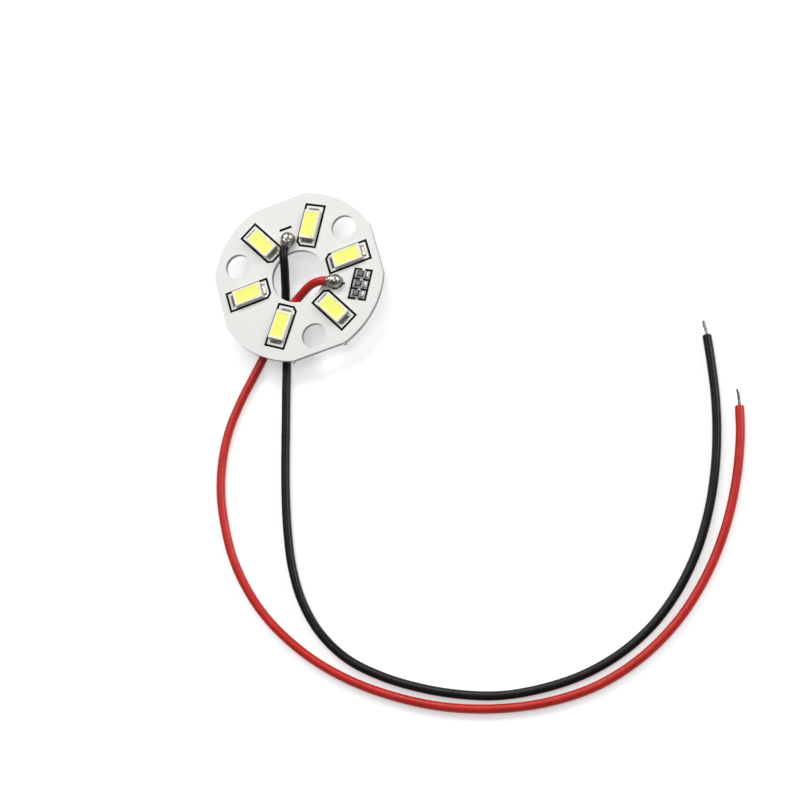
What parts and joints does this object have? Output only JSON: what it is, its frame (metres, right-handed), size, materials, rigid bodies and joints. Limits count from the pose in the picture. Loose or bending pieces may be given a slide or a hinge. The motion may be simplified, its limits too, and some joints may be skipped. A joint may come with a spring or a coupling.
{
  "type": "led module",
  "caption": "Round aluminium-backed board with surface-mount LEDs, chip resistors, screw holes and a red and a black lead soldered to its face and led out through the middle hole.",
  "frame": {"origin": "centre of the screw circle on the board's back face", "axes": "+Z out of the lit face, +X through the middle of LED 1, +Y through the black lead's pad"},
  "size_m": [0.0947, 0.1038, 0.0061],
  "materials": {
    "core_aluminium": "punched aluminium sheet, fine drawing lines on the back",
    "dielectric": "thin filled epoxy layer",
    "copper": "etched copper foil",
    "mask_white": "white solder mask, satin gloss",
    "ink_black": "printed black ink",
    "housing_white": "moulded white plastic",
    "terminal_silver": "silver-plated sheet metal",
    "phosphor": "greenish yellow phosphor in clear resin",
    "die": "polished light-emitting chip",
    "bond_gold": "drawn gold wire",
    "ceramic_white": "fired alumina",
    "overcoat_black": "black resin overcoat",
    "solder": "reflowed solder, slightly grainy",
    "insulation_black": "extruded soft plastic, satin",
    "insulation_red": "extruded soft plastic, satin",
    "tinned_strands": "twisted tinned copper strands"
  },
  "bodies": {
    "root": {"base_plate": "core_aluminium", "dielectric_layer": "dielectric", "copper_circuit": "copper", "solder_mask": "mask_white", "legend_print": "ink_black", "led_bond_wires": "bond_gold", "led_solder": "solder", "resistor_solder": "solder", "black_solder_joint": "solder", "red_solder_joint": "solder", "black_lead": "insulation_black", "red_lead": "insulation_red", "black_soldered_end": "tinned_strands", "black_stripped_end": "tinned_strands", "red_soldered_end": "tinned_strands", "red_stripped_end": "tinned_strands", "led_1_housing": "housing_white", "led_1_cathode": "terminal_silver", "led_1_anode": "terminal_silver", "led_1_die": "die", "led_1_phosphor": "phosphor", "led_2_housing": "housing_white", "led_2_cathode": "terminal_silver", "led_2_anode": "terminal_silver", "led_2_die": "die", "led_2_phosphor": "phosphor", "led_3_housing": "housing_white", "led_3_cathode": "terminal_silver", "led_3_anode": "terminal_silver", "led_3_die": "die", "led_3_phosphor": "phosphor", "led_4_housing": "housing_white", "led_4_cathode": "terminal_silver", "led_4_anode": "terminal_silver", "led_4_die": "die", "led_4_phosphor": "phosphor", "led_5_housing": "housing_white", "led_5_cathode": "terminal_silver", "led_5_anode": "terminal_silver", "led_5_die": "die", "led_5_phosphor": "phosphor", "led_6_housing": "housing_white", "led_6_cathode": "terminal_silver", "led_6_anode": "terminal_silver", "led_6_die": "die", "led_6_phosphor": "phosphor", "resistor_1_body": "ceramic_white", "resistor_1_coat": "overcoat_black", "resistor_1_terminals": "terminal_silver", "resistor_2_body": "ceramic_white", "resistor_2_coat": "overcoat_black", "resistor_2_terminals": "terminal_silver", "resistor_3_body": "ceramic_white", "resistor_3_coat": "overcoat_black", "resistor_3_terminals": "terminal_silver"}
  },
  "joints": []
}
